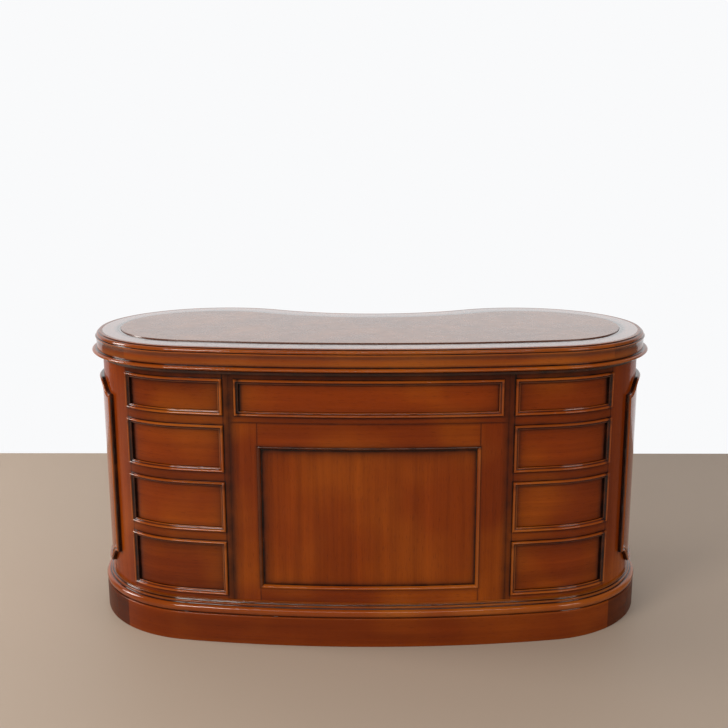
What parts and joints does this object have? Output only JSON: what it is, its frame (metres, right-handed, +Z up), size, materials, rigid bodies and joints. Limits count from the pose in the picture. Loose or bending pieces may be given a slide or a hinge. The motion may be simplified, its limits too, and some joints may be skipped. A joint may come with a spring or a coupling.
{
  "type": "kidney shaped desk",
  "caption": "Kidney-shaped pedestal writing desk with a leather-lined moulded top, a panelled visitor's side, a kneehole, and sliding drawers with swinging bail handles.",
  "frame": {"origin": "on the floor, under the middle of the desk's bounding box", "axes": "+X to the right as the visitor sees the desk, +Y towards the person who sits at it, +Z up"},
  "size_m": [1.5096, 0.6921, 0.7826],
  "materials": {
    "mahogany_field": "French-polished veneer on carcass walls, boards, panels and drawer fronts",
    "mahogany_moulding": "French-polished solid mouldings and end panels",
    "mahogany_top": "high-gloss polished top board",
    "brown_leather": "antiqued writing leather",
    "drawer_lining": "plain planed lining",
    "aged_brass": "aged, lightly polished"
  },
  "bodies": {
    "carcass": {"centre_dummy_frame": "mahogany_moulding", "centre_frame": "mahogany_field", "centre_panel": "mahogany_field", "cornice_moulding": "mahogany_moulding", "kneehole_board": "mahogany_field", "leather_inset": "brown_leather", "left_bottom_board": "mahogany_field", "left_drawer_board_1": "mahogany_field", "left_drawer_board_2": "mahogany_field", "left_drawer_board_3": "mahogany_field", "left_dummy_frame_1": "mahogany_moulding", "left_dummy_frame_2": "mahogany_moulding", "left_dummy_frame_3": "mahogany_moulding", "left_dummy_frame_4": "mahogany_moulding", "left_end_panel": "mahogany_moulding", "left_kneehole_cheek": "mahogany_field", "left_pedestal_shell": "mahogany_field", "plinth": "mahogany_field", "plinth_moulding": "mahogany_moulding", "right_bottom_board": "mahogany_field", "right_drawer_board_1": "mahogany_field", "right_drawer_board_2": "mahogany_field", "right_drawer_board_3": "mahogany_field", "right_dummy_frame_1": "mahogany_moulding", "right_dummy_frame_2": "mahogany_moulding", "right_dummy_frame_3": "mahogany_moulding", "right_dummy_frame_4": "mahogany_moulding", "right_end_panel": "mahogany_moulding", "right_kneehole_cheek": "mahogany_field", "right_pedestal_shell": "mahogany_field", "sub_top": "mahogany_field", "top_board": "mahogany_top"},
    "left_drawer_1": {"left_drawer_1_front": "mahogany_field", "left_drawer_1_box": "drawer_lining"},
    "left_drawer_2": {"left_drawer_2_front": "mahogany_field", "left_drawer_2_box": "drawer_lining"},
    "left_drawer_3": {"left_drawer_3_front": "mahogany_field", "left_drawer_3_box": "drawer_lining"},
    "left_drawer_4": {"left_drawer_4_front": "mahogany_field", "left_drawer_4_box": "drawer_lining"},
    "right_drawer_1": {"right_drawer_1_front": "mahogany_field", "right_drawer_1_box": "drawer_lining"},
    "right_drawer_2": {"right_drawer_2_front": "mahogany_field", "right_drawer_2_box": "drawer_lining"},
    "right_drawer_3": {"right_drawer_3_front": "mahogany_field", "right_drawer_3_box": "drawer_lining"},
    "right_drawer_4": {"right_drawer_4_front": "mahogany_field", "right_drawer_4_box": "drawer_lining"},
    "centre_drawer": {"centre_drawer_front": "mahogany_field", "centre_drawer_box": "drawer_lining"},
    "left_drawer_1_bail": {"left_drawer_1_bail": "aged_brass"},
    "right_drawer_1_bail": {"right_drawer_1_bail": "aged_brass"},
    "left_drawer_2_bail": {"left_drawer_2_bail": "aged_brass"},
    "right_drawer_2_bail": {"right_drawer_2_bail": "aged_brass"},
    "left_drawer_3_bail": {"left_drawer_3_bail": "aged_brass"},
    "right_drawer_3_bail": {"right_drawer_3_bail": "aged_brass"},
    "left_drawer_4_bail": {"left_drawer_4_bail": "aged_brass"},
    "right_drawer_4_bail": {"right_drawer_4_bail": "aged_brass"},
    "centre_drawer_bail_left": {"centre_drawer_bail_left": "aged_brass"},
    "centre_drawer_bail_right": {"centre_drawer_bail_right": "aged_brass"}
  },
  "joints": [
    {"name": "left_drawer_1_slide", "type": "slide", "parent": "carcass", "child": "left_drawer_1", "axis": [0, 1, 0], "range_m": [0, 0.3]},
    {"name": "left_drawer_2_slide", "type": "slide", "parent": "carcass", "child": "left_drawer_2", "axis": [0, 1, 0], "range_m": [0, 0.3]},
    {"name": "left_drawer_3_slide", "type": "slide", "parent": "carcass", "child": "left_drawer_3", "axis": [0, 1, 0], "range_m": [0, 0.3]},
    {"name": "left_drawer_4_slide", "type": "slide", "parent": "carcass", "child": "left_drawer_4", "axis": [0, 1, 0], "range_m": [0, 0.3]},
    {"name": "right_drawer_1_slide", "type": "slide", "parent": "carcass", "child": "right_drawer_1", "axis": [0, 1, 0], "range_m": [0, 0.3]},
    {"name": "right_drawer_2_slide", "type": "slide", "parent": "carcass", "child": "right_drawer_2", "axis": [0, 1, 0], "range_m": [0, 0.3]},
    {"name": "right_drawer_3_slide", "type": "slide", "parent": "carcass", "child": "right_drawer_3", "axis": [0, 1, 0], "range_m": [0, 0.3]},
    {"name": "right_drawer_4_slide", "type": "slide", "parent": "carcass", "child": "right_drawer_4", "axis": [0, 1, 0], "range_m": [0, 0.3]},
    {"name": "centre_drawer_slide", "type": "slide", "parent": "carcass", "child": "centre_drawer", "axis": [0, 1, 0], "range_m": [0, 0.3]},
    {"name": "left_drawer_1_swing", "type": "hinge", "parent": "left_drawer_1", "child": "left_drawer_1_bail", "pos_m": [-0.47554, 0.32994, 0.66301], "axis": [0.9881, 0.1539, 0], "range_deg": [-20, 90]},
    {"name": "right_drawer_1_swing", "type": "hinge", "parent": "right_drawer_1", "child": "right_drawer_1_bail", "pos_m": [0.47554, 0.32994, 0.66301], "axis": [0.9881, -0.1539, 0], "range_deg": [-20, 90]},
    {"name": "left_drawer_2_swing", "type": "hinge", "parent": "left_drawer_2", "child": "left_drawer_2_bail", "pos_m": [-0.47554, 0.32994, 0.52882], "axis": [0.9881, 0.1539, 0], "range_deg": [-20, 90]},
    {"name": "right_drawer_2_swing", "type": "hinge", "parent": "right_drawer_2", "child": "right_drawer_2_bail", "pos_m": [0.47554, 0.32994, 0.52882], "axis": [0.9881, -0.1539, 0], "range_deg": [-20, 90]},
    {"name": "left_drawer_3_swing", "type": "hinge", "parent": "left_drawer_3", "child": "left_drawer_3_bail", "pos_m": [-0.47554, 0.32994, 0.37461], "axis": [0.9881, 0.1539, 0], "range_deg": [-20, 90]},
    {"name": "right_drawer_3_swing", "type": "hinge", "parent": "right_drawer_3", "child": "right_drawer_3_bail", "pos_m": [0.47554, 0.32994, 0.37461], "axis": [0.9881, -0.1539, 0], "range_deg": [-20, 90]},
    {"name": "left_drawer_4_swing", "type": "hinge", "parent": "left_drawer_4", "child": "left_drawer_4_bail", "pos_m": [-0.47554, 0.32994, 0.20841], "axis": [0.9881, 0.1539, 0], "range_deg": [-20, 90]},
    {"name": "right_drawer_4_swing", "type": "hinge", "parent": "right_drawer_4", "child": "right_drawer_4_bail", "pos_m": [0.47554, 0.32994, 0.20841], "axis": [0.9881, -0.1539, 0], "range_deg": [-20, 90]},
    {"name": "centre_drawer_swing_left", "type": "hinge", "parent": "centre_drawer", "child": "centre_drawer_bail_left", "pos_m": [-0.1456, 0.2438, 0.66301], "axis": [0.9637, -0.2669, 0], "range_deg": [-20, 90]},
    {"name": "centre_drawer_swing_right", "type": "hinge", "parent": "centre_drawer", "child": "centre_drawer_bail_right", "pos_m": [0.1456, 0.2438, 0.66301], "axis": [0.9637, 0.2669, 0], "range_deg": [-20, 90]}
  ]
}
